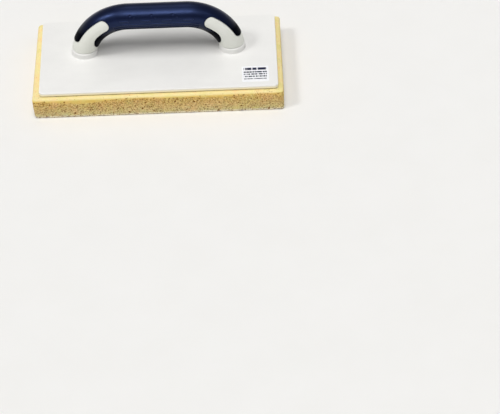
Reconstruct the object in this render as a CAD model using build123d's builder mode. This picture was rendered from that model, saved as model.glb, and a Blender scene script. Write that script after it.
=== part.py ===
from build123d import *

import os
from math import cos, radians, sin

# Grout float: a sponge block fastened by hook and loop to a hard board, which carries a
# two-component bow handle. Sizes are in millimetres. +X runs along the float, +Y to its back
# and +Z up. The origin is the centre of the sponge's sole, so the float stands on z = 0.

os.makedirs("parts", exist_ok=True)

# ---- Driving dimensions -------------------------------------------------------------------

# Sponge block
SPONGE_LENGTH = 280.0
SPONGE_DEPTH = 140.0
SPONGE_HEIGHT = 26.0
SPONGE_CORNER = 4.0
SPONGE_EDGE = 2.5

# Hook-and-loop fastening between the sponge and the board
FASTENER_LENGTH = 266.0
FASTENER_DEPTH = 128.0
FASTENER_CORNER = 4.0
FLEECE_THICKNESS = 0.7
HOOK_THICKNESS = 0.7

# Board
PLATE_LENGTH = 268.0
PLATE_DEPTH = 130.0
PLATE_THICKNESS = 4.0
PLATE_CORNER = 5.0
PLATE_EDGE = 0.9

# Sockets on the board that take the handle's legs
SOCKET_RADIUS = 15.0
SOCKET_BORE = 12.5
SOCKET_HEIGHT = 7.5
SOCKET_EDGE = 2.2
SOCKET_ROOT = 1.0

# Handle: a straight bar, a bend at each end and a short straight run into each socket
HANDLE_Y = 8.0
FOOT_X = 83.8
BAR_HEIGHT = 48.3
BAR_HALF = 32.3
BEND_RADIUS = 52.4
BEND_ANGLE = 82.0
LEG_RADIUS = 14.2
GRIP_RADIUS = 14.7
BAR_CORE_RADIUS = 11.2

# Legs where they enter the sockets
SHOULDER_GAP = 0.25
SPIGOT_RADIUS = 12.3
SPIGOT_LIFT = 0.3
LEG_EDGE = 0.6
CAVITY_RADIUS = 9.6
CAVITY_DEPTH = 15.0
BOSS_RADIUS = 5.2
RIB_THICKNESS = 2.0

# White window on each side of each leg, as offsets from the handle's centreline. Below it the
# grip tapers towards the inside of the bend.
WINDOW_TOP = 9.9
WINDOW_BOTTOM = -3.2
WINDOW_START = 30.0
OUTER_TIP_ANGLE = 63.0
OUTER_TIP_RADIUS = 8.0
TAPER_START_ANGLE = 45.0
TAPER_END_ANGLE = 64.0
TAPER_END = -9.8
INNER_TIP_ANGLE = 69.5
INNER_TIP = -15.7
GROOVE = 0.3
GRIP_EDGE = 0.7

# Raised pads and ridges on both sides of the grip. Each is a round-ended rod sunk into the
# grip, placed by its angle above the level of the centreline.
TREAD_RADIUS = 1.1
TREAD_RISE = 0.7
PAD_PITCH = 24.0
PAD_LENGTH = 9.0
PAD_COUNT = 4
PAD_ANGLE = 13.0
RIDGE_ANGLES = (-4.0, -18.0, -32.0)
RIDGE_BEND = 18.0

# Dimples between the pads: shift along the bar, angle, radius of the ball that cuts it, depth
DIMPLES = ((-5.4, 38.0, 2.6, 0.9), (-0.8, 26.0, 1.6, 0.7))

# Countersunk self-tapping screws, driven from below
SCREW_RADIUS = 2.5
SCREW_CORE = 2.0
SCREW_HEAD = 4.8
SCREW_HEAD_RIM = 0.4
SCREW_LENGTH = 19.0
SCREW_PITCH = 1.8
SCREW_CLEARANCE = 0.2
SEAT_CLEARANCE = 0.05
SEAT_ANGLE = 90.0
RECESS_WIDTH = 1.0
RECESS_SPAN = 4.6
RECESS_DEPTH = 1.8
RECESS_TAPER = 10.0

# Printed label near the board's front right corner
LABEL_LENGTH = 30.0
LABEL_DEPTH = 27.5
LABEL_CORNER = 1.2
LABEL_THICKNESS = 0.2
LABEL_X = 108.8
LABEL_Y = -43.5

# ---- Heights and places worked out from them ----------------------------------------------

FLEECE_TOP = SPONGE_HEIGHT + FLEECE_THICKNESS
HOOK_TOP = FLEECE_TOP + HOOK_THICKNESS
PLATE_TOP = HOOK_TOP + PLATE_THICKNESS
SOCKET_TOP = PLATE_TOP + SOCKET_HEIGHT
BAR_Z = PLATE_TOP + BAR_HEIGHT
BEND_Z = BAR_Z - BEND_RADIUS
SHOULDER_Z = SOCKET_TOP + SHOULDER_GAP
SPIGOT_Z = PLATE_TOP + SPIGOT_LIFT
SCREW_NECK_Z = SCREW_HEAD_RIM + SCREW_HEAD - SCREW_RADIUS
SIDES = (("left", -1), ("right", 1))
FEET = [(side * FOOT_X, HANDLE_Y) for _, side in SIDES]

# Reach past the handle's surface of the solids that cut it
REACH = 20.0

# How far a measured radius may be from its drawn value
TOLERANCE = 0.01


def bend_point(offset, angle):
    """Point (x, z) at an outward offset from the centreline, an angle round the right bend."""
    reach = BEND_RADIUS + offset
    return (BAR_HALF + reach * sin(radians(angle)), BEND_Z + reach * cos(radians(angle)))


def tip_point(offset, angle, radius):
    """The furthest point round the bend of a circle centred at an offset and an angle."""
    x, z = bend_point(offset, angle)
    return (x + radius * cos(radians(angle)), z - radius * sin(radians(angle)))


def bow_tube(radius):
    """Round tube along the handle's centreline, its legs cut level at the shoulders."""
    end_x, end_z = bend_point(0, BEND_ANGLE)
    slope = (cos(radians(BEND_ANGLE)), 0, -sin(radians(BEND_ANGLE)))
    with BuildPart() as tube:
        with BuildSketch(Plane.YZ):
            with Locations((HANDLE_Y, BAR_Z)):
                Circle(radius)
        extrude(amount=BAR_HALF)
        with BuildSketch(Plane.YZ.offset(BAR_HALF)):
            with Locations((HANDLE_Y, BAR_Z)):
                Circle(radius)
        revolve(axis=Axis((BAR_HALF, 0, BEND_Z), (0, 1, 0)), revolution_arc=BEND_ANGLE)
        with BuildSketch(Plane(origin=(end_x, HANDLE_Y, end_z), x_dir=(0, 1, 0), z_dir=slope)):
            Circle(radius)
        extrude(amount=REACH)
        split(bisect_by=Plane.XY.offset(SHOULDER_Z), keep=Keep.TOP)
        mirror(about=Plane.YZ)
    return tube.part


def slab(length, depth, corner, bottom, thickness):
    """Flat plate with rounded corners, centred on the float."""
    with BuildPart() as plate:
        with BuildSketch(Plane.XY.offset(bottom)):
            RectangleRounded(length, depth, corner)
        extrude(amount=thickness)
    return plate.part


def tread_centre(side, angle):
    """Place (y, z) of a tread's axis on the front (side -1) or the back (side 1) of the bar."""
    depth = GRIP_RADIUS + TREAD_RISE - TREAD_RADIUS
    return (HANDLE_Y + side * depth * cos(radians(angle)), BAR_Z + depth * sin(radians(angle)))


def short_tread(middle, length, side, angle):
    """Straight round-ended rod along the bar. The poles of its end balls are inside the grip."""
    y, z = tread_centre(side, angle)
    with BuildPart() as tread:
        with Locations(Location((middle, y, z), (0, 90, 0))):
            Cylinder(TREAD_RADIUS, length)
        for end in (middle - length / 2, middle + length / 2):
            with Locations(Location((end, y, z), (0, 90, 0))):
                Sphere(TREAD_RADIUS)
    return tread.part


def dimple_ball(middle, side, angle, radius, depth):
    """Ball that cuts a dimple in the side of the bar, its poles along the bar."""
    reach = GRIP_RADIUS + radius - depth
    y = HANDLE_Y + side * reach * cos(radians(angle))
    z = BAR_Z + reach * sin(radians(angle))
    with BuildPart() as ball:
        with Locations(Location((middle, y, z), (0, 90, 0))):
            Sphere(radius)
    return ball.part


def long_ridge(side, angle):
    """Round-ended rod along the whole bar and a little way round each bend."""
    y, z = tread_centre(side, angle)
    end_x, end_z = bend_point(z - BAR_Z, RIDGE_BEND)
    with BuildPart() as ridge:
        with BuildSketch(Plane.YZ):
            with Locations((y, z)):
                Circle(TREAD_RADIUS)
        extrude(amount=BAR_HALF)
        with BuildSketch(Plane.YZ.offset(BAR_HALF)):
            with Locations((y, z)):
                Circle(TREAD_RADIUS)
        revolve(axis=Axis((BAR_HALF, 0, BEND_Z), (0, 1, 0)), revolution_arc=RIDGE_BEND)
        with Locations(Location((end_x, y, end_z), (0, 90 + RIDGE_BEND, 0))):
            Sphere(TREAD_RADIUS)
        mirror(about=Plane.YZ)
    return ridge.part


# ---- Tool shapes for the handle -----------------------------------------------------------

# Side view of the soft grip: the bar, and two rounded prongs down each leg
with BuildSketch(Plane.XZ) as grip_zone:
    with BuildLine():
        outer = Line((0, BAR_Z + REACH), (BAR_HALF, BAR_Z + REACH))
        outer_end = bend_point(REACH, OUTER_TIP_ANGLE)
        ThreePointArc(outer @ 1, bend_point(REACH, OUTER_TIP_ANGLE / 2), outer_end)
        outer_middle = WINDOW_TOP + OUTER_TIP_RADIUS
        outer_side = bend_point(outer_middle + OUTER_TIP_RADIUS, OUTER_TIP_ANGLE)
        Line(outer_end, outer_side)
        window_top = bend_point(WINDOW_TOP, OUTER_TIP_ANGLE)
        ThreePointArc(
            outer_side, tip_point(outer_middle, OUTER_TIP_ANGLE, OUTER_TIP_RADIUS), window_top
        )
        middle_angle = (OUTER_TIP_ANGLE + WINDOW_START) / 2
        start_top = bend_point(WINDOW_TOP, WINDOW_START)
        ThreePointArc(window_top, bend_point(WINDOW_TOP, middle_angle), start_top)
        start_middle = (WINDOW_TOP + WINDOW_BOTTOM) / 2
        start_radius = (WINDOW_TOP - WINDOW_BOTTOM) / 2
        start_bottom = bend_point(WINDOW_BOTTOM, WINDOW_START)
        ThreePointArc(
            start_top, tip_point(start_middle, WINDOW_START, -start_radius), start_bottom
        )
        straight_middle = bend_point(WINDOW_BOTTOM, (WINDOW_START + TAPER_START_ANGLE) / 2)
        taper_start = bend_point(WINDOW_BOTTOM, TAPER_START_ANGLE)
        lower = ThreePointArc(start_bottom, straight_middle, taper_start)
        taper_end = bend_point(TAPER_END, TAPER_END_ANGLE)
        taper = TangentArc(taper_start, taper_end, tangent=lower % 1)
        inner_side = bend_point(INNER_TIP, INNER_TIP_ANGLE)
        TangentArc(taper_end, inner_side, tangent=taper % 1)
        inner_end = bend_point(-REACH, INNER_TIP_ANGLE)
        Line(inner_side, inner_end)
        inner_start = (BAR_HALF, BAR_Z - REACH)
        ThreePointArc(inner_end, bend_point(-REACH, INNER_TIP_ANGLE / 2), inner_start)
        Line(inner_start, (0, BAR_Z - REACH))
        Line((0, BAR_Z - REACH), (0, BAR_Z + REACH))
    make_face()
    mirror(about=Plane.YZ)

# The same shape grown by the groove that runs round each window
with BuildSketch(Plane.XZ) as groove_zone:
    add(grip_zone.sketch)
    offset(amount=GROOVE)

# ---- Sponge side --------------------------------------------------------------------------

with BuildPart() as sponge:
    with BuildSketch():
        RectangleRounded(SPONGE_LENGTH, SPONGE_DEPTH, SPONGE_CORNER)
    extrude(amount=SPONGE_HEIGHT)
    fillet(sponge.faces().sort_by(Axis.Z)[-1].edges(), SPONGE_EDGE)

with BuildPart() as loop_fleece:
    add(slab(FASTENER_LENGTH, FASTENER_DEPTH, FASTENER_CORNER, SPONGE_HEIGHT, FLEECE_THICKNESS))

# ---- Board side ---------------------------------------------------------------------------

with BuildPart() as hook_sheet:
    add(slab(FASTENER_LENGTH, FASTENER_DEPTH, FASTENER_CORNER, FLEECE_TOP, HOOK_THICKNESS))

with BuildPart() as backing_plate:
    add(slab(PLATE_LENGTH, PLATE_DEPTH, PLATE_CORNER, HOOK_TOP, PLATE_THICKNESS))
    fillet(backing_plate.faces().sort_by(Axis.Z)[-1].edges(), PLATE_EDGE)
    with BuildSketch(Plane.XY.offset(PLATE_TOP)):
        with Locations(*FEET):
            Circle(SOCKET_RADIUS)
    extrude(amount=SOCKET_HEIGHT)
    rims = backing_plate.edges().filter_by(GeomType.CIRCLE)
    rims = rims.filter_by(lambda edge: abs(edge.radius - SOCKET_RADIUS) < TOLERANCE)
    fillet(rims.group_by(Axis.Z)[-1], SOCKET_EDGE)
    rims = backing_plate.edges().filter_by(GeomType.CIRCLE)
    rims = rims.filter_by(lambda edge: abs(edge.radius - SOCKET_RADIUS) < TOLERANCE)
    fillet(rims.group_by(Axis.Z)[0], SOCKET_ROOT)
    with BuildSketch(Plane.XY.offset(PLATE_TOP)):
        with Locations(*FEET):
            Circle(SOCKET_BORE)
    extrude(amount=SOCKET_HEIGHT, mode=Mode.SUBTRACT)
    seat_radius = SCREW_HEAD + SCREW_HEAD_RIM + SEAT_CLEARANCE
    for x, y in FEET:
        with Locations(Plane(origin=(x, y, HOOK_TOP), z_dir=(0, 0, -1))):
            CounterSinkHole(SCREW_RADIUS + SCREW_CLEARANCE, seat_radius, counter_sink_angle=SEAT_ANGLE)

# ---- Handle -------------------------------------------------------------------------------

with BuildPart() as handle_core:
    add(bow_tube(LEG_RADIUS))
    fillet(handle_core.faces().sort_by(Axis.Z)[0:2].edges(), LEG_EDGE)
    extrude(groove_zone.sketch, amount=2 * REACH, both=True, mode=Mode.SUBTRACT)
    add(bow_tube(BAR_CORE_RADIUS))
    with BuildSketch(Plane.XY.offset(SPIGOT_Z)):
        with Locations(*FEET):
            Circle(SPIGOT_RADIUS)
    extrude(amount=SHOULDER_Z - SPIGOT_Z + LEG_EDGE)
    with BuildSketch(Plane.XY.offset(SPIGOT_Z)):
        with Locations(*FEET):
            Circle(CAVITY_RADIUS)
    extrude(amount=CAVITY_DEPTH, mode=Mode.SUBTRACT)
    with BuildSketch(Plane.XY.offset(SPIGOT_Z)):
        with Locations(*FEET):
            Circle(BOSS_RADIUS)
            Rectangle(2 * CAVITY_RADIUS + RIB_THICKNESS, RIB_THICKNESS)
            Rectangle(RIB_THICKNESS, 2 * CAVITY_RADIUS + RIB_THICKNESS)
    extrude(amount=CAVITY_DEPTH)
    for x, y in FEET:
        with Locations(Plane(origin=(x, y, SPIGOT_Z), z_dir=(0, 0, -1))):
            Hole(SCREW_CORE, depth=CAVITY_DEPTH)

with BuildPart() as soft_grip:
    add(bow_tube(GRIP_RADIUS))
    extrude(grip_zone.sketch, amount=2 * REACH, both=True, mode=Mode.INTERSECT)
    walls = soft_grip.faces().filter_by(GeomType.CYLINDER)
    walls = walls.filter_by(lambda face: face.axis_of_rotation.is_parallel(Axis.Y))
    rims = walls.edges().filter_by(Axis.Y, reverse=True)
    fillet(rims, GRIP_EDGE)
    for side in (-1, 1):
        for angle in RIDGE_ANGLES:
            add(long_ridge(side, angle))
        for pad in range(PAD_COUNT):
            middle = (pad - (PAD_COUNT - 1) / 2) * PAD_PITCH
            add(short_tread(middle, PAD_LENGTH, side, PAD_ANGLE))
        for gap in range(PAD_COUNT - 1):
            middle = (gap - (PAD_COUNT - 2) / 2) * PAD_PITCH
            for shift, angle, radius, depth in DIMPLES:
                ball = dimple_ball(middle + shift, side, angle, radius, depth)
                add(ball, mode=Mode.SUBTRACT)
    add(bow_tube(BAR_CORE_RADIUS), mode=Mode.SUBTRACT)

# ---- Screws -------------------------------------------------------------------------------

# Half section of a screw whose head is at z = 0 and whose thread rises from it
thread_start = PLATE_THICKNESS + SPIGOT_LIFT + SCREW_PITCH / 2
thread_turns = int((SCREW_LENGTH - thread_start - SCREW_RADIUS) / SCREW_PITCH)
section = [(0, 0), (SCREW_HEAD, 0), (SCREW_HEAD, SCREW_HEAD_RIM), (SCREW_RADIUS, SCREW_NECK_Z)]
section.append((SCREW_RADIUS, thread_start - SCREW_PITCH / 2))
for turn in range(thread_turns):
    foot = thread_start + turn * SCREW_PITCH
    section.append((SCREW_CORE, foot))
    section.append((SCREW_RADIUS, foot + SCREW_PITCH / 2))
section.append((SCREW_CORE, thread_start + thread_turns * SCREW_PITCH))
section.append((0, SCREW_LENGTH))

with BuildPart() as screw:
    with BuildSketch(Plane.XZ):
        with BuildLine():
            Polyline(*section, close=True)
        make_face()
    revolve(axis=Axis.Z)
    with BuildSketch():
        Rectangle(RECESS_SPAN, RECESS_WIDTH)
        Rectangle(RECESS_WIDTH, RECESS_SPAN)
    extrude(amount=RECESS_DEPTH, taper=RECESS_TAPER, mode=Mode.SUBTRACT)

screws = {}
for name, side in SIDES:
    with BuildPart() as placed:
        with Locations((side * FOOT_X, HANDLE_Y, HOOK_TOP)):
            add(screw.part)
    screws[name] = placed.part

# ---- Label --------------------------------------------------------------------------------

with BuildPart() as label:
    with BuildSketch(Plane.XY.offset(PLATE_TOP)):
        with Locations((LABEL_X, LABEL_Y)):
            RectangleRounded(LABEL_LENGTH, LABEL_DEPTH, LABEL_CORNER)
    extrude(amount=LABEL_THICKNESS)

# ---- Files --------------------------------------------------------------------------------

sponge.part.label = "sponge"
export_step(sponge.part, "parts/sponge.step")

loop_fleece.part.label = "loop_fleece"
export_step(loop_fleece.part, "parts/loop_fleece.step")

hook_sheet.part.label = "hook_sheet"
export_step(hook_sheet.part, "parts/hook_sheet.step")

backing_plate.part.label = "backing_plate"
export_step(backing_plate.part, "parts/backing_plate.step")

handle_core.part.label = "handle_core"
export_step(handle_core.part, "parts/handle_core.step")

soft_grip.part.label = "soft_grip"
export_step(soft_grip.part, "parts/soft_grip.step")

for name, screw_part in screws.items():
    screw_part.label = f"handle_screw_{name}"
    export_step(screw_part, f"parts/handle_screw_{name}.step")

label.part.label = "label"
export_step(label.part, "parts/label.step")
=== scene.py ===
"""Looks of a grout float: foam pad, hook-and-loop fastener, plastic board and bow handle."""

import math

import bpy
import numpy as np
from mathutils import Matrix, Vector
from mathutils.kdtree import KDTree


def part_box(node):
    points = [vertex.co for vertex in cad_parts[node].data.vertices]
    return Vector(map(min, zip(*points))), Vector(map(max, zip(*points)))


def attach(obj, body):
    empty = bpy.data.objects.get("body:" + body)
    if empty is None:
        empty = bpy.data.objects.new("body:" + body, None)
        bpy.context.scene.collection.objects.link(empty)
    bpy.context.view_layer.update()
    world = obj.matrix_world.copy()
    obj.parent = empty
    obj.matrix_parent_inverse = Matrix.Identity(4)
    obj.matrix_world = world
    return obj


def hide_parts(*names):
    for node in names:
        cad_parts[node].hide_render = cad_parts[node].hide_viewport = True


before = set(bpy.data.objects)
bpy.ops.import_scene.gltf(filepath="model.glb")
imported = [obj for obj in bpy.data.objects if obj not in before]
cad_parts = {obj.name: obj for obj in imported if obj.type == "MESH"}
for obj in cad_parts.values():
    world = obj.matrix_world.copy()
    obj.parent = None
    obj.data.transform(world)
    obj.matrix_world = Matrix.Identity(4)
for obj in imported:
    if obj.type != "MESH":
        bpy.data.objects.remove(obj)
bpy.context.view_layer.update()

MM = 0.001
SEED = 20

# ---- Sizes, in metres ------------------------------------------------------------------------

SPONGE_LOW, SPONGE_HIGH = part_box("sponge")
FLEECE_LOW, FLEECE_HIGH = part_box("loop_fleece")
HOOKS_LOW, HOOKS_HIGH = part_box("hook_sheet")
LABEL_LOW, LABEL_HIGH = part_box("label")
GRIP_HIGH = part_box("soft_grip")[1]

SPONGE_MIDDLE = (SPONGE_LOW + SPONGE_HIGH) / 2
SPONGE_HALF = (SPONGE_HIGH - SPONGE_LOW) / 2
SPONGE_THICKNESS = SPONGE_HIGH.z - SPONGE_LOW.z
SPONGE_CORNER = 4 * MM
SMALLEST_CORNER = 1.2 * MM
SPONGE_TOP_EDGE = 3.0 * MM
SPONGE_BOTTOM_EDGE = 1.4 * MM

# How far in from the pad's sides: the innermost row on its top, and each row on its sole
TOP_BAND = 10 * MM
SOLE_INSETS = (1.8 * MM, 2.4 * MM, 3 * MM)

# Gap between a rounded edge and the row beside it: on the top, at a wall's head, at its foot
TOP_GAP = 0.7 * MM
HEAD_GAP = 0.6 * MM
FOOT_GAP = 0.5 * MM

# The front left corner bulges, over this share of half the length
LEFT_BULGE = 2.2 * MM
BULGE_SHARE = 0.2

# The dense skin at the top of the walls: its depth, how much that swings, how widely, and its fade
SKIN_DEPTH = 4.6 * MM
SKIN_SWING = 3.4 * MM
SKIN_PATCH = 60 * MM
SKIN_FADE = 2 * MM

# Dips in the foam's surface: how deep and how far apart
WIDE_DIPS = (0.22 * MM, 34 * MM)
FINE_DIPS = (0.10 * MM, 6 * MM)
DIPS_ON_TOP = 0.35

# How far below its top, in millimetres, the grip starts to darken with painted shade and is darkest
GRIP_BRIGHT = 13
GRIP_DARK = 32

# Edges of the CAD nodes sharper than this, in degrees, stay sharp
SHARP_ANGLE = 40

# Mesh columns along each side of the pad: even numbers, because the sole has half as many
LONG_STEPS = 416
SHORT_STEPS = 200
CORNER_STEPS = 12

# Mesh rows of the pad: on its top, of them under the board, in an edge and down a wall
TOP_ROWS = 10
COVERED_ROWS = 4
EDGE_STEPS = 6
WALL_STEPS = 33

# How far up the normals of the walls may point, from straight down at -1 to straight up at 1
WALL_LEAN = (-0.6, 0.3)

# Open cells cut into each zone of the foam: how many tries, their smallest and largest radius
WALL_CELLS = (6400, 0.5 * MM, 0.95 * MM)
WALL_HOLES = (260, 0.9 * MM, 1.5 * MM)
MARGIN_CELLS = (160, 0.5 * MM, 0.75 * MM)
SOLE_CELLS = (2600, 1.2 * MM, 2.6 * MM)
DEEPEST_CELL = 1.7 * MM
# Dent depth against which the painted shade in the cells is measured
SHADED_DEPTH = 1.1 * MM

# Shape of a cell: how squashed it is, its depth in radii, and how far it strays from its vertex
CELL_SQUASH = (0.7, 1.0)
CELL_DEPTH = (0.7, 1.3)
CELL_STRAY = 0.2 * MM

# A cell that would start over a dent this deep is left out, with this chance
TAKEN_DEPTH = 0.4 * MM
TAKEN_CHANCE = 0.8

NAP_STEP = 1.0 * MM
NAP_RISE = 0.16 * MM
NAP_DEPTH = 0.32 * MM
LOOP_COUNT = 3600
LOOP_DEPTH = 0.45 * MM
LOOP_MARGIN = 1.5 * MM
LOOP_REACH = (0.5 * MM, 1.2 * MM)
LOOP_RISE = (0.30 * MM, 0.40 * MM)

TAPE_BASE = 0.36 * MM
TAPE_RIB = 0.05 * MM
TAPE_GRAIN = 0.01 * MM
HOOK_PITCH = 2.6 * MM
HOOK_STRAY = (0.1 * MM, 0.08 * MM)
HOOK_TIP_GAP = 0.07 * MM

# A hook's root above the tape's face, then its points: how far out and above its lowest point
HOOK_ROOT = 0.03 * MM
HOOK_BEND = ((0.10 * MM, 0.08 * MM), (0.34 * MM, 0.0), (0.50 * MM, 0.14 * MM))

# Half the thickness of a loop or a hook, and a direction that hardly any of them follow
STRAND_RADIUS = 0.06 * MM
STRAND_SIDE = (0.31, -0.95, 0.05)

# Bars on the label: how far down, how tall and a block's length in millimetres, and share of gaps
LABEL_BARS = (
    (4.8, 4.2, 2.0, 0.34),
    (10.4, 2.3, 1.3, 0.36),
    (14.2, 2.3, 1.5, 0.42),
    (18.2, 2.3, 1.5, 0.40),
    (22.4, 1.4, 1.3, 0.36),
)

# The bars' margin in millimetres, and how far apart on one line of noise their blocks are read
LABEL_MARGIN = 2
LABEL_ROW_SHIFT = 31.7

PAD_NAME = "sponge_pad_foam"


# ---- Mesh helpers ----------------------------------------------------------------------------


def make_piece(name, points, faces, material, body):
    """One smooth mesh object from points in metres and its faces, riding on a CAD body."""
    mesh = bpy.data.meshes.new(name)
    mesh.from_pydata([tuple(p) for p in points], [], faces)
    mesh.validate()
    mesh.materials.append(material)
    mesh.shade_smooth()
    piece = bpy.data.objects.new(name, mesh)
    bpy.context.scene.collection.objects.link(piece)
    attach(piece, body)
    return piece


def store(piece, name, values):
    """Keeps one number for each vertex, for the material to read."""
    attribute = piece.data.attributes.new(name, "FLOAT", "POINT")
    attribute.data.foreach_set("value", np.asarray(values, np.float32))


def waves(points, amplitude, wavelength, seed):
    """Smooth uneven field over points, from a few sine waves in random directions."""
    random = np.random.default_rng(seed)
    total = np.zeros(len(points))
    for _ in range(6):
        direction = random.normal(size=3)
        direction *= math.tau / (wavelength * random.uniform(0.6, 1.6) * np.linalg.norm(direction))
        total += np.sin(points @ direction + random.uniform(0, math.tau))
    return total * amplitude / 3


# ---- Foam pad --------------------------------------------------------------------------------


def outline():
    """Corner shares and outward normals round the pad, anticlockwise from the front right."""
    shares, normals = [], []
    for side in range(4):
        start = np.array([(1, -1), (1, 1), (-1, 1), (-1, -1)][side], float)
        end = np.array([(1, 1), (-1, 1), (-1, -1), (1, -1)][side], float)
        steps = SHORT_STEPS if side % 2 == 0 else LONG_STEPS
        for k in range(steps):
            shares.append(start + (end - start) * k / steps)
            normals.append((math.cos(side * math.pi / 2), math.sin(side * math.pi / 2)))
        for k in range(CORNER_STEPS):
            turn = (side + k / CORNER_STEPS) * math.pi / 2
            shares.append(end)
            normals.append((math.cos(turn), math.sin(turn)))
    return np.array(shares), np.array(normals)


def pad_profile():
    """Rows from the pad's top to its sole, each as inset, height and tilt of the normal."""
    top, bottom = SPONGE_HIGH.z, SPONGE_LOW.z
    rows = [(d, top, 90) for d in np.linspace(TOP_BAND, SPONGE_TOP_EDGE + TOP_GAP, TOP_ROWS)]
    for tilt in np.linspace(90, 0, EDGE_STEPS + 1):
        angle = math.radians(tilt)
        inset = SPONGE_TOP_EDGE * (1 - math.cos(angle))
        rows.append((inset, top - SPONGE_TOP_EDGE * (1 - math.sin(angle)), tilt))
    wall_top = top - SPONGE_TOP_EDGE - HEAD_GAP
    wall_end = bottom + SPONGE_BOTTOM_EDGE + FOOT_GAP
    rows += [(0, z, 0) for z in np.linspace(wall_top, wall_end, WALL_STEPS + 1)]
    for tilt in np.linspace(0, -90, EDGE_STEPS // 2 + 1):
        angle = math.radians(tilt)
        inset = SPONGE_BOTTOM_EDGE * (1 - math.cos(angle))
        rows.append((inset, bottom + SPONGE_BOTTOM_EDGE * (1 + math.sin(angle)), tilt))
    rows += [(d, bottom, -90) for d in SOLE_INSETS]
    return rows


def pad_rings(shares, normals):
    """Points and normals of every ring of the pad, outline by outline."""
    points, directions = [], []
    for inset, height, tilt in pad_profile():
        corner = max(SPONGE_CORNER - inset, SMALLEST_CORNER)
        inner = np.array([SPONGE_HALF.x - inset - corner, SPONGE_HALF.y - inset - corner])
        flat = shares * inner + normals * corner + np.array(SPONGE_MIDDLE.xy)
        points.append(np.column_stack([flat, np.full(len(flat), height)]))
        angle = math.radians(tilt)
        out = np.column_stack([normals * math.cos(angle), np.full(len(flat), math.sin(angle))])
        directions.append(out)
    return np.array(points), np.array(directions)


def underside_grid(ring):
    """Grid of points that fills a ring round the pad."""
    across = LONG_STEPS // 2 + CORNER_STEPS // 2
    along = SHORT_STEPS // 2 + CORNER_STEPS // 2
    ring = np.roll(ring, CORNER_STEPS // 4, axis=0)
    right = ring[: along + 1]
    back = ring[along : along + across + 1][::-1]
    left = ring[along + across : 2 * along + across + 1][::-1]
    front = np.vstack([ring[2 * along + across :], ring[:1]])
    u = np.linspace(0, 1, across + 1)[None, :, None]
    v = np.linspace(0, 1, along + 1)[:, None, None]
    sides = left[:, None] * (1 - u) + right[:, None] * u
    ends = front[None] * (1 - v) + back[None] * v
    front_line = front[0] * (1 - u) + front[-1] * u
    back_line = back[0] * (1 - u) + back[-1] * u
    corners = front_line * (1 - v) + back_line * v
    return sides + ends - corners


def cut_cells(points, chosen, cells, depths, random):
    """Digs round open cells into a zone of the surface. depths holds each vertex's dent."""
    count, smallest, largest = cells
    tree = KDTree(len(points))
    for index, point in enumerate(points):
        tree.insert(point, index)
    tree.balance()
    zone = np.flatnonzero(chosen)
    for middle in random.choice(zone, count):
        radius = smallest + (largest - smallest) * random.random() ** 2
        squash = random.uniform(*CELL_SQUASH)
        axis = random.normal(size=3)
        axis /= np.linalg.norm(axis)
        depth = min(radius * random.uniform(*CELL_DEPTH), DEEPEST_CELL)
        centre = points[middle] + random.normal(size=3) * CELL_STRAY
        near = [index for _, index, _ in tree.find_range(centre, radius)]
        if not near or depths[near].max() > TAKEN_DEPTH and random.random() < TAKEN_CHANCE:
            continue
        away = points[near] - centre
        along = away @ axis
        away += np.outer(along, axis) * (1 / squash - 1)
        share = np.clip(np.linalg.norm(away, axis=1) / radius, 0, 1)
        depths[near] = np.maximum(depths[near], depth * np.sqrt(1 - share**2))


def make_pad(material):
    """The foam pad: soft rounded top edge, open cells in its walls and sole, slightly uneven."""
    shares, normals = outline()
    rings, directions = pad_rings(shares, normals)
    rows, columns = rings.shape[:2]
    grid = underside_grid(rings[-1][::2])
    inner = grid[1:-1, 1:-1].reshape(-1, 3)
    points = np.vstack([rings.reshape(-1, 3), inner])
    outward = np.vstack([directions.reshape(-1, 3), np.tile((0, 0, -1.0), (len(inner), 1))])

    random = np.random.default_rng(SEED)
    depths = np.zeros(len(points))
    height = points[:, 2] - SPONGE_LOW.z
    lean = outward[:, 2]
    lowest_lean, highest_lean = WALL_LEAN
    wall = (lean > lowest_lean) & (lean < highest_lean)
    skin = SKIN_DEPTH + waves(points * (1, 1, 0.4), SKIN_SWING, SKIN_PATCH, SEED + 6)
    below_skin = SPONGE_THICKNESS - skin - height
    covered = COVERED_ROWS * columns
    margin = (lean >= highest_lean) & (np.arange(len(points)) > covered)
    cut_cells(points, wall & (below_skin > 0), WALL_CELLS, depths, random)
    cut_cells(points, wall & (below_skin > -SKIN_FADE), WALL_HOLES, depths, random)
    cut_cells(points, margin, MARGIN_CELLS, depths, random)
    cut_cells(points, lean < -0.9, SOLE_CELLS, depths, random)

    sunk = np.abs(waves(points, *WIDE_DIPS, SEED + 1))
    sunk += np.abs(waves(points, *FINE_DIPS, SEED + 2))
    sunk[lean > 0.99] *= DIPS_ON_TOP
    sunk[:covered] = 0
    moved = points - outward * (depths + sunk)[:, None]
    leftness = (SPONGE_MIDDLE.x - points[:, 0]) / SPONGE_HALF.x - (1 - BULGE_SHARE)
    leftness = np.clip(leftness, 0, None) / BULGE_SHARE
    frontness = np.clip(0.5 - (points[:, 1] - SPONGE_MIDDLE.y) / SPONGE_HALF.y / 2, 0, 1)
    moved[:, 0] -= LEFT_BULGE * leftness * frontness * (height / SPONGE_THICKNESS) ** 0.5

    faces = []
    for row in range(rows - 1):
        first = row * columns
        for k in range(columns):
            after = (k + 1) % columns
            faces.append((first + k, first + columns + k, first + columns + after, first + after))
    faces.append(tuple(range(columns)))
    faces += underside_faces(rows, columns, grid.shape)
    pad = make_piece(PAD_NAME, moved, faces, material, "sponge_pad")
    # Each vertex's dent as a share, for the painted shade in the cells
    store(pad, "cell", np.clip(depths / SHADED_DEPTH, 0, 1))
    store(pad, "porous", np.clip(below_skin / SKIN_FADE + 0.6, 0, 1))
    store(pad, "sole", np.clip(-2 * lean - 0.6, 0, 1))
    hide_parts("sponge")


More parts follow.
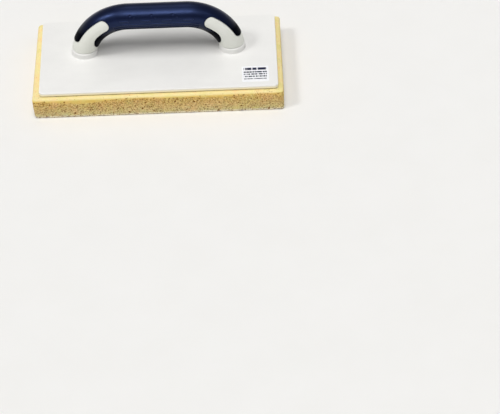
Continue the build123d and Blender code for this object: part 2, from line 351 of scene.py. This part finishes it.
def underside_faces(rows, columns, shape):
    """Faces of the sole. Its grid has half as many edge points as the ring it meets."""
    last = (rows - 1) * columns
    inner_first = rows * columns
    tall, wide = shape[:2]
    ring = [((k - CORNER_STEPS // 4) % (columns // 2)) * 2 + last for k in range(columns // 2)]
    index = np.full((tall, wide), -1)
    index[1:-1, 1:-1] = inner_first + np.arange((tall - 2) * (wide - 2)).reshape(tall - 2, wide - 2)
    edge = [(row, wide - 1) for row in range(tall - 1)]
    edge += [(tall - 1, column) for column in range(wide - 1, 0, -1)]
    edge += [(row, 0) for row in range(tall - 1, 0, -1)]
    edge += [(0, column) for column in range(wide - 1)]
    between = {}
    for place, (row, column) in enumerate(edge):
        index[row, column] = ring[place]
        after = edge[(place + 1) % len(edge)]
        middle = last + (ring[place] - last + 1) % columns
        between[frozenset(((row, column), after))] = middle
    faces = []
    for row in range(tall - 1):
        for column in range(wide - 1):
            loop = [(row, column), (row + 1, column), (row + 1, column + 1), (row, column + 1)]
            face = []
            for here, after in zip(loop, loop[1:] + loop[:1]):
                face.append(int(index[here]))
                if frozenset((here, after)) in between:
                    face.append(int(between[frozenset((here, after))]))
            faces.append(tuple(face))
    return faces


# ---- Hook-and-loop fastener ------------------------------------------------------------------


def thin_sheet(low, high, step, relief):
    """Fine grid of points for one side of a thin sheet, shaped by relief, its faces and rim."""
    wide = round((high.x - low.x) / step)
    deep = round((high.y - low.y) / step)
    x, y = np.meshgrid(np.linspace(low.x, high.x, wide + 1), np.linspace(low.y, high.y, deep + 1))
    flat = np.column_stack([x.ravel(), y.ravel(), np.zeros(x.size)])
    flat[:, 2] = relief(flat)
    index = np.arange(x.size).reshape(deep + 1, wide + 1)
    faces = [
        (int(index[r, c]), int(index[r, c + 1]), int(index[r + 1, c + 1]), int(index[r + 1, c]))
        for r in range(deep)
        for c in range(wide)
    ]
    rim = [*index[0, :-1], *index[:-1, -1], *index[-1, :0:-1], *index[:0:-1, 0]]
    return flat, faces, [int(k) for k in rim]


def close_sheet(points, faces, rim, level):
    """Adds the plain face at a level and the walls between it and the grid."""
    first = len(points)
    back = points[rim].copy()
    back[:, 2] = level
    count = len(rim)
    for k in range(count):
        after = (k + 1) % count
        faces.append((rim[k], first + k, first + after, rim[after]))
    faces.append(tuple(first + k for k in reversed(range(count))))
    return np.vstack([points, back]), faces


def make_fleece(material):
    """Napped loop sheet bonded to the top of the foam, with fine loops standing in its pile."""
    random = np.random.default_rng(SEED + 3)
    middle = FLEECE_HIGH.z - NAP_DEPTH

    def nap(points):
        fine = random.normal(size=len(points)) * NAP_RISE * 0.3
        tufts = waves(points, NAP_RISE * 0.5, 5 * MM, SEED + 4)
        return middle + np.clip(fine + tufts, -NAP_RISE, NAP_RISE)

    points, faces, rim = thin_sheet(FLEECE_LOW, FLEECE_HIGH, NAP_STEP, nap)
    points, faces = close_sheet(points, faces, rim, FLEECE_LOW.z)
    sheet = make_piece("loop_fleece_nap", points, faces, material, "sponge_pad")
    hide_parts("loop_fleece")
    loops = make_loops(material, random)


def make_loops(material, random):
    """Small arches of yarn scattered over the fleece."""
    points, faces = [], []
    base = FLEECE_HIGH.z - LOOP_DEPTH
    for _ in range(LOOP_COUNT):
        x = random.uniform(FLEECE_LOW.x + LOOP_MARGIN, FLEECE_HIGH.x - LOOP_MARGIN)
        y = random.uniform(FLEECE_LOW.y + LOOP_MARGIN, FLEECE_HIGH.y - LOOP_MARGIN)
        turn = random.uniform(0, math.pi)
        reach = random.uniform(*LOOP_REACH)
        rise = random.uniform(*LOOP_RISE)
        path = []
        for k in range(5):
            angle = math.pi * k / 4
            shift = -reach * math.cos(angle)
            across, along = shift * math.cos(turn), shift * math.sin(turn)
            path.append((x + across, y + along, base + rise * math.sin(angle)))
        add_strand(points, faces, path, STRAND_RADIUS)
    return make_piece("loop_fleece_loops", points, faces, material, "sponge_pad")


def add_strand(points, faces, path, radius):
    """Three-sided closed strand along a short path of points."""
    path = np.array(path)
    first = len(points)
    for k, place in enumerate(path):
        ahead = path[min(k + 1, len(path) - 1)] - path[max(k - 1, 0)]
        ahead /= np.linalg.norm(ahead)
        side = np.cross(ahead, STRAND_SIDE)
        side /= np.linalg.norm(side)
        up = np.cross(ahead, side)
        for corner in range(3):
            angle = math.tau * corner / 3
            points.append(tuple(place + radius * (side * math.cos(angle) + up * math.sin(angle))))
    for k in range(len(path) - 1):
        for corner in range(3):
            after = (corner + 1) % 3
            a, b = first + 3 * k + corner, first + 3 * k + after
            faces.append((a, b, b + 3, a + 3))
    last = first + 3 * (len(path) - 1)
    faces.append((first + 2, first + 1, first))
    faces.append((last, last + 1, last + 2))


def make_hooks(material):
    """Woven tape under the board, with rows of small hooks that point down into the fleece."""
    random = np.random.default_rng(SEED + 5)
    level = HOOKS_HIGH.z - TAPE_BASE

    def weave(points):
        rib = np.cos(points[:, 1] * math.tau / HOOK_PITCH) * TAPE_RIB
        return level + rib + random.normal(size=len(points)) * TAPE_GRAIN

    points, faces, rim = thin_sheet(HOOKS_LOW, HOOKS_HIGH, HOOK_PITCH / 4, weave)
    faces = [tuple(reversed(face)) for face in faces]
    points, faces = close_sheet(points, faces, rim[::-1], HOOKS_HIGH.z)
    sheet = make_piece("hook_tape_base", points, faces, material, "board")
    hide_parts("hook_sheet")

    points, faces = [], []
    size = HOOKS_HIGH - HOOKS_LOW
    low = HOOKS_LOW.z + HOOK_TIP_GAP
    columns = int(size.x / HOOK_PITCH) - 1
    rows = int(size.y / HOOK_PITCH) - 1
    for row in range(rows):
        for column in range(columns):
            across = column + 1 + 0.5 * (row % 2)
            x = HOOKS_LOW.x + HOOK_PITCH * across + random.normal() * HOOK_STRAY[0]
            y = HOOKS_LOW.y + HOOK_PITCH * (row + 1) + random.normal() * HOOK_STRAY[1]
            lean = 1 if row % 2 else -1
            path = [(x, y, level + HOOK_ROOT)]
            path += [(x + lean * reach, y, low + rise) for reach, rise in HOOK_BEND]
            add_strand(points, faces, path, STRAND_RADIUS)
    hooks = make_piece("hook_tape_hooks", points, faces, material, "board")


# ---- Materials -------------------------------------------------------------------------------


class Shader:
    """Short names for the nodes of one material. Coordinates are in millimetres."""

    def __init__(self, name, roughness=0.5, **sockets):
        self.material = bpy.data.materials.new(name)
        self.material.use_nodes = True
        self.tree = self.material.node_tree
        self.bsdf = self.tree.nodes["Principled BSDF"]
        self.bsdf.inputs["Roughness"].default_value = roughness
        for socket, value in sockets.items():
            self.bsdf.inputs[socket.replace("_", " ")].default_value = value
        metres = self.node("TexCoord").outputs["Object"]
        scaled = self.node("Mapping", {"Vector": metres, "Scale": (1 / MM, 1 / MM, 1 / MM)})
        self.place = scaled.outputs["Vector"]

    def node(self, kind, inputs=None, **settings):
        """A new node, its settings, and its inputs as plain values or as links."""
        made = self.tree.nodes.new("ShaderNode" + kind)
        for name, value in settings.items():
            setattr(made, name, value)
        for socket, value in (inputs or {}).items():
            if isinstance(value, bpy.types.NodeSocket):
                self.tree.links.new(value, made.inputs[socket])
            else:
                made.inputs[socket].default_value = value
        return made

    def noise(self, size, detail=3, rough=0.55, stretch=(1, 1, 1)):
        """Noise whose features are about size millimetres across."""
        scaled = self.node("Mapping", {"Vector": self.place, "Scale": stretch})
        inputs = {"Vector": scaled.outputs["Vector"], "Scale": 1 / size}
        inputs.update({"Detail": detail, "Roughness": rough})
        return self.node("TexNoise", inputs).outputs["Fac"]

    def cells(self, size):
        """Distance to the nearest of scattered points about size millimetres apart."""
        inputs = {"Vector": self.place, "Scale": 1 / size, "Randomness": 1.0}
        return self.node("TexVoronoi", inputs).outputs["Distance"]

    def steps(self, value, low, high, start=0.0, end=1.0):
        """value from low to high, spread over start to end and held at both ends."""
        inputs = {"Value": value, "From Min": low, "From Max": high, "To Min": start, "To Max": end}
        return self.node("MapRange", inputs).outputs["Result"]

    def math(self, operation, first, second=0.5):
        """One arithmetic step."""
        return self.node("Math", {0: first, 1: second}, operation=operation).outputs[0]

    def mix(self, share, first, second):
        """Colour between first and second."""
        made = self.node("Mix", data_type="RGBA")
        for socket, value in (("Factor_Float", share), ("A_Color", first), ("B_Color", second)):
            target = next(i for i in made.inputs if i.identifier == socket)
            if isinstance(value, bpy.types.NodeSocket):
                self.tree.links.new(value, target)
            else:
                target.default_value = value
        return next(o for o in made.outputs if o.identifier == "Result_Color")

    def axis(self, letter):
        """One coordinate of the surface, in millimetres."""
        return self.node("SeparateXYZ", {"Vector": self.place}).outputs[letter]

    def finish(self, colour, roughness=None, bumps=()):
        """Joins colour, roughness and bumps to the surface. A bump is (height, strength, mm)."""
        self.tree.links.new(colour, self.bsdf.inputs["Base Color"])
        if roughness is not None:
            self.tree.links.new(roughness, self.bsdf.inputs["Roughness"])
        normal = None
        for height, strength, distance in bumps:
            inputs = {"Height": height, "Strength": strength, "Distance": distance * MM}
            if normal is not None:
                inputs["Normal"] = normal
            normal = self.node("Bump", inputs).outputs["Normal"]
        if normal is not None:
            self.tree.links.new(normal, self.bsdf.inputs["Normal"])
        return self.material


def rgb(red, green, blue):
    """Colour socket value from 0 to 255 display values."""
    linear = []
    for value in (red, green, blue):
        share = value / 255
        linear.append(share / 12.92 if share <= 0.04045 else ((share + 0.055) / 1.055) ** 2.4)
    return (*linear, 1.0)


def foam_material():
    """Yellow open-cell foam: pale dense skin above, tan porous walls, a paler foot with painted
    light along its edge, and cells and pores darkened with painted shade.
    """
    m = Shader("sponge_foam", roughness=0.95, Specular_IOR_Level=0.2)
    height = m.axis("Z")
    cell = m.node("Attribute", attribute_name="cell").outputs["Fac"]
    porous = m.node("Attribute", attribute_name="porous").outputs["Fac"]
    sole = m.node("Attribute", attribute_name="sole").outputs["Fac"]
    thickness = SPONGE_THICKNESS / MM
    patch = m.noise(34, detail=3)
    blotch = m.noise(7, detail=4)
    grain = m.noise(1.7, detail=4, rough=0.65)

    # Colour by height, in uneven bands: foot, wall, below the skin, smooth skin, top
    small_shift = m.steps(blotch, 0.3, 0.7, -1.6, 1.6)
    wide_shift = m.steps(patch, 0.35, 0.65, -1.5, 1.5)
    level = m.math("ADD", height, m.math("ADD", small_shift, wide_shift))
    body = m.mix(m.steps(level, 1.0, 13.0), rgb(208, 202, 150), rgb(217, 186, 118))
    body = m.mix(m.steps(level, thickness - 12, thickness - 5), body, rgb(224, 186, 100))
    body = m.mix(m.steps(porous, 0.6, 0.0), body, rgb(232, 198, 104))
    body = m.mix(m.steps(height, thickness - 2.6, thickness - 0.9), body, rgb(237, 221, 161))

    # Pale, pinkish and greenish patches, painted light along the edge of the foot, and the sole
    body = m.mix(m.steps(blotch, 0.4, 0.75, 0.0, 0.35), body, rgb(246, 222, 156))
    hue = m.noise(11, detail=2)
    body = m.mix(m.steps(hue, 0.52, 0.72, 0.0, 0.45), body, rgb(244, 196, 138))
    body = m.mix(m.steps(hue, 0.48, 0.30, 0.0, 0.45), body, rgb(222, 212, 128))
    # Painted light along the foot's lower edge, against the shade from the floor
    body = m.mix(m.steps(height, 3.2, 1.9), body, rgb(246, 240, 212))
    underneath = m.mix(m.steps(patch, 0.35, 0.65), rgb(226, 196, 122), rgb(234, 210, 146))
    body = m.mix(sole, body, underneath)

    # Dark and light grain on the walls, weak on the skin and near the foot
    lower = m.steps(height, thickness - 2.4, thickness - 4.0)
    walls = m.math("MULTIPLY", lower, m.steps(porous, 0.0, 1.0, 0.2, 1.0))
    worn = m.math("MULTIPLY", walls, m.steps(level, 2.0, 16.0, 0.45, 0.95))
    dusk = m.math("MULTIPLY", m.steps(grain, 0.5, 0.34, 0.0, 0.75), worn)
    body = m.mix(dusk, body, rgb(176, 118, 44))
    pale = m.math("MULTIPLY", m.steps(grain, 0.52, 0.66, 0.0, 0.6), worn)
    body = m.mix(pale, body, rgb(255, 238, 184))

    # Painted shade in cells too small for the mesh, then painted shade in the cells cut into it
    small = m.steps(m.cells(1.5), 0.36, 0.22)
    small = m.math("MULTIPLY", small, m.steps(m.noise(2.2, detail=1), 0.42, 0.5))
    small = m.math("MULTIPLY", small, m.math("ADD", porous, 0.08))
    body = m.mix(m.math("MULTIPLY", small, 0.85), body, rgb(134, 80, 24))
    painted_cell_shade = m.mix(sole, rgb(138, 80, 18), rgb(176, 124, 48))
    body = m.mix(m.steps(cell, 0.15, 0.8, 0.0, 0.9), body, painted_cell_shade)
    bumps = (
        (m.math("SUBTRACT", 1.0, small), 0.5, 0.4),
        (m.math("MULTIPLY", grain, walls), 0.8, 0.5),
        (m.noise(3.2, detail=2), 0.3, 0.5),
    )
    return m.finish(body, bumps=bumps)


def fleece_material():
    """Cream napped pile with tangled yarn."""
    m = Shader("loop_fleece", roughness=0.9, Sheen_Weight=0.5, Sheen_Roughness=0.4)
    yarn = m.noise(0.6, detail=3, stretch=(1, 3.2, 1))
    curl = m.noise(0.6, detail=3, stretch=(3.2, 1, 1))
    pile = m.noise(3.2, detail=5, rough=0.7)
    body = m.mix(m.steps(pile, 0.35, 0.65), rgb(222, 208, 158), rgb(244, 236, 204))
    body = m.mix(m.steps(yarn, 0.3, 0.55, 0.55, 0.0), body, rgb(176, 156, 100))
    body = m.mix(m.steps(curl, 0.45, 0.7, 0.0, 0.4), body, rgb(252, 248, 226))
    bumps = ((yarn, 1.0, 0.4), (curl, 1.0, 0.4), (pile, 0.9, 0.9))
    return m.finish(body, bumps=bumps)


def tape_material():
    """Off-white woven nylon tape."""
    m = Shader("hook_tape", roughness=0.6)
    inputs = {"Vector": m.place, "Scale": 0.32, "Distortion": 0.4}
    warp = m.node("TexWave", inputs, bands_direction="X")
    weft = m.node("TexWave", inputs, bands_direction="Y")
    weave = m.math("MULTIPLY", warp.outputs["Fac"], weft.outputs["Fac"])
    body = m.mix(weave, rgb(196, 192, 180), rgb(232, 229, 218))
    body = m.mix(m.steps(m.noise(22), 0.4, 0.7, 0.0, 0.3), body, rgb(206, 200, 178))
    return m.finish(body, bumps=((weave, 0.7, 0.25), (m.noise(0.3), 0.3, 0.1)))


def moulded_material(name, light, shade, roughness, dust, painted_reflection_top=0):
    """Hard moulded plastic: faint flow marks, grain, scuffs and dust, with a painted yellow
    reflection of the foam below a height.
    """
    m = Shader(name, roughness=roughness, Specular_IOR_Level=0.45)
    flow = m.noise(46, detail=3, stretch=(1, 1.6, 1))
    grain = m.noise(0.55, detail=4, rough=0.6)
    scuff = m.noise(1.4, detail=5, rough=0.7, stretch=(0.18, 1, 1))
    scratch = m.steps(scuff, 0.66, 0.74)
    body = m.mix(m.steps(flow, 0.3, 0.7), light, shade)
    body = m.mix(m.math("MULTIPLY", scratch, 0.25), body, dust)
    speck = m.steps(m.noise(2.6, detail=2), 0.72, 0.78, 0.0, 0.5)
    body = m.mix(speck, body, dust)
    if painted_reflection_top:
        # Painted reflection: the foam's yellow on the board's side, below the given height
        body = m.mix(m.steps(m.axis("Z"), painted_reflection_top, painted_reflection_top - 2.6), body, rgb(250, 240, 204))
    rough = m.steps(grain, 0.3, 0.7, roughness - 0.05, roughness + 0.08)
    rough = m.math("ADD", rough, m.math("MULTIPLY", scratch, 0.2))
    bumps = ((flow, 0.12, 2.0), (grain, 0.12, 0.12), (scratch, 0.1, 0.06))
    return m.finish(body, rough, bumps)


def rubber_material():
    """Navy soft grip: fine matt texture, a blue sheen, and painted shade darkening it towards the
    prongs.
    """
    blue = (0.28, 0.42, 1.0, 1.0)
    m = Shader("grip_rubber", roughness=0.34, Specular_IOR_Level=0.6, Specular_Tint=blue)
    grain = m.noise(0.45, detail=4, rough=0.65)
    cloud = m.noise(11, detail=3)
    body = m.mix(m.steps(cloud, 0.3, 0.7), rgb(3, 5, 24), rgb(5, 8, 34))
    top = GRIP_HIGH.z / MM
    down = m.steps(m.axis("Z"), top - GRIP_BRIGHT, top - GRIP_DARK)
    # Painted shade: the grip's colour darkens towards the prongs
    body = m.mix(down, body, rgb(1, 2, 8))
    body = m.mix(m.steps(m.noise(1.8, detail=3), 0.68, 0.78, 0.0, 0.12), body, rgb(90, 96, 130))
    rough = m.steps(m.noise(6, detail=4), 0.3, 0.7, 0.30, 0.38)

    # The prongs shine less than the bar
    sheen = m.steps(down, 0.0, 1.0, 0.8, 0.02)
    m.tree.links.new(sheen, m.bsdf.inputs["Specular IOR Level"])
    return m.finish(body, rough, ((grain, 0.25, 0.10), (cloud, 0.08, 0.5)))


def steel_material():
    """Zinc-plated screw steel."""
    m = Shader("screw_steel", roughness=0.32, Metallic=1.0)
    brush = m.noise(0.25, detail=4, stretch=(1, 1, 5))
    body = m.mix(m.steps(brush, 0.3, 0.7), rgb(168, 170, 172), rgb(206, 206, 202))
    rough = m.steps(brush, 0.3, 0.7, 0.26, 0.42)
    return m.finish(body, rough, ((brush, 0.2, 0.05),))


def label_material():
    """White paper sticker: one thick and four thin broken bars in dark ink, no lettering."""
    m = Shader("label_paper", roughness=0.38, Specular_IOR_Level=0.5)
    left, right, back = LABEL_LOW.x / MM, LABEL_HIGH.x / MM, LABEL_HIGH.y / MM
    x, y = m.axis("X"), m.axis("Y")

    def between(value, low, high, soft=0.15):
        rise = m.steps(value, low - soft, low + soft)
        return m.math("MULTIPLY", rise, m.steps(value, high + soft, high - soft))

    ink = None
    for row, (down, tall, block, gap) in enumerate(LABEL_BARS):
        band = between(y, back - down - tall / 2, back - down + tall / 2)
        band = m.math("MULTIPLY", band, between(x, left + LABEL_MARGIN, right - LABEL_MARGIN))
        run = m.math("ADD", m.math("DIVIDE", x, block), row * LABEL_ROW_SHIFT)
        inputs = {"W": run, "Scale": 1.0, "Detail": 1.0}
        pattern = m.node("TexNoise", inputs, noise_dimensions="1D").outputs["Fac"]
        band = m.math("MULTIPLY", band, m.steps(pattern, gap, gap + 0.06))
        ink = band if ink is None else m.math("MAXIMUM", ink, band)
    paper = m.mix(m.steps(m.noise(3.0, detail=4), 0.3, 0.7), rgb(250, 250, 250), rgb(240, 241, 245))
    ink_colour = m.mix(m.noise(1.0), rgb(10, 12, 40), rgb(20, 24, 66))
    body = m.mix(ink, paper, ink_colour)
    rough = m.steps(ink, 0.0, 1.0, 0.42, 0.3)
    return m.finish(body, rough, ((m.noise(0.5, detail=4), 0.15, 0.04),))


def dress(node, material):
    """Gives a CAD node its material and slot, with smooth shading between its gentle faces."""
    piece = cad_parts[node]
    piece.data.materials.clear()
    piece.data.materials.append(material)
    piece.data.shade_smooth()
    piece.data.set_sharp_from_angle(angle=math.radians(SHARP_ANGLE))


# ---- Setting ---------------------------------------------------------------------------------

FLOOR_REACH = 6.0
FLOOR_GAP = 0.1 * MM

# The backdrop is pale below the first of these heights in the sky, and grey above the second
HORIZON = (0.07, 0.16)
HORIZON_GLOW = 0.80
SKY_GLOW = 0.20

LENS = 172.8
SENSOR = 36
CAMERA_PLACE = Vector((0.0934, -2.1475, 1.723))
CAMERA_RIGHT = Vector((0.99930, -0.02612, -0.02694))
CAMERA_BACK = Vector((-0.0014, -0.7435, 0.6687))


def make_setting():
    """Pale floor and soft studio light."""
    floor_material = Shader("studio_floor", roughness=0.8)
    tone = floor_material.mix(floor_material.noise(60), rgb(236, 235, 232), rgb(240, 239, 237))
    floor_material.finish(tone)
    mesh = bpy.data.meshes.new("floor")
    level = SPONGE_LOW.z - FLOOR_GAP
    ends = ((-1, -1), (1, -1), (1, 1), (-1, 1))
    corners = [(x * FLOOR_REACH, y * FLOOR_REACH, level) for x, y in ends]
    mesh.from_pydata(corners, [], [(0, 1, 2, 3)])
    mesh.materials.append(floor_material.material)
    floor = bpy.data.objects.new("floor", mesh)
    bpy.context.scene.collection.objects.link(floor)

    make_world()
    add_light("overhead", azimuth=0, elevation=84, width=22, strength=0.92, glints=False)
    add_light("ceiling", azimuth=0, elevation=78, width=36, strength=0.35)
    add_light("left", azimuth=-66, elevation=50, width=13, strength=0.80)
    add_light("right", azimuth=55, elevation=52, width=15, strength=0.08)
    add_light("back", azimuth=180, elevation=60, width=26, strength=0.15)
    add_light("front", azimuth=0, elevation=60, width=20, strength=0.70)


def make_world():
    """Soft grey light from all round, and a pale band along the horizon for a backdrop."""
    world = bpy.data.worlds.new("studio")
    world.use_nodes = True
    tree = world.node_tree
    place = tree.nodes.new("ShaderNodeTexCoord")
    split = tree.nodes.new("ShaderNodeSeparateXYZ")
    band = tree.nodes.new("ShaderNodeMapRange")
    tree.links.new(place.outputs["Generated"], split.inputs["Vector"])
    tree.links.new(split.outputs["Z"], band.inputs["Value"])
    for socket, value in (("From Min", HORIZON[0]), ("From Max", HORIZON[1])):
        band.inputs[socket].default_value = value
    for socket, value in (("To Min", HORIZON_GLOW), ("To Max", SKY_GLOW)):
        band.inputs[socket].default_value = value
    tree.links.new(band.outputs["Result"], tree.nodes["Background"].inputs["Strength"])
    tree.nodes["Background"].inputs["Color"].default_value = (1.0, 1.0, 1.0, 1.0)
    bpy.context.scene.world = world


def add_light(name, azimuth, elevation, width, strength, glints=True):
    """Far soft light, width degrees across. Azimuth 0 is in front. glints: seen in reflections."""
    light = bpy.data.lights.new(name, "SUN")
    light.angle = math.radians(width)
    light.energy = strength
    lamp = bpy.data.objects.new(name, light)
    lamp.visible_glossy = glints
    turn, lift = math.radians(azimuth), math.radians(elevation)
    reach = math.cos(lift)
    away = Vector((math.sin(turn) * reach, -math.cos(turn) * reach, math.sin(lift)))
    lamp.location = away
    lamp.rotation_mode = "QUATERNION"
    lamp.rotation_quaternion = away.to_track_quat("Z", "Y")
    bpy.context.scene.collection.objects.link(lamp)


def make_camera():
    """Camera in front of the float and above it, a long lens some 2.7 m away."""
    camera = bpy.data.cameras.new("camera")
    camera.lens = LENS
    camera.sensor_width = SENSOR
    camera.clip_end = 50
    back = CAMERA_BACK.normalized()
    up = back.cross(CAMERA_RIGHT).normalized()
    right = up.cross(back).normalized()
    holder = bpy.data.objects.new("camera", camera)
    turn = Matrix((right, up, back)).transposed().to_4x4()
    holder.matrix_world = Matrix.Translation(CAMERA_PLACE) @ turn
    bpy.context.scene.collection.objects.link(holder)
    bpy.context.scene.camera = holder


# ---- The float -------------------------------------------------------------------------------

make_pad(foam_material())
make_fleece(fleece_material())
make_hooks(tape_material())
board_plastic = moulded_material(
    "board_plastic",
    light=rgb(238, 237, 234),
    shade=rgb(233, 232, 229),
    roughness=0.38,
    dust=rgb(206, 202, 192),
    # Below this height the board's side takes the painted yellow reflection of the foam
    painted_reflection_top=HOOKS_HIGH.z / MM + 3.4,
)
handle_plastic = moulded_material(
    "handle_plastic",
    light=rgb(230, 231, 224),
    shade=rgb(223, 224, 215),
    roughness=0.34,
    dust=rgb(196, 194, 184),
)
dress("backing_plate", board_plastic)
dress("handle_core", handle_plastic)
dress("soft_grip", rubber_material())
screw_steel = steel_material()
for name in ("handle_screw_left", "handle_screw_right"):
    dress(name, screw_steel)
dress("label", label_material())

make_setting()
make_camera()
bpy.context.scene.view_settings.view_transform = "Standard"
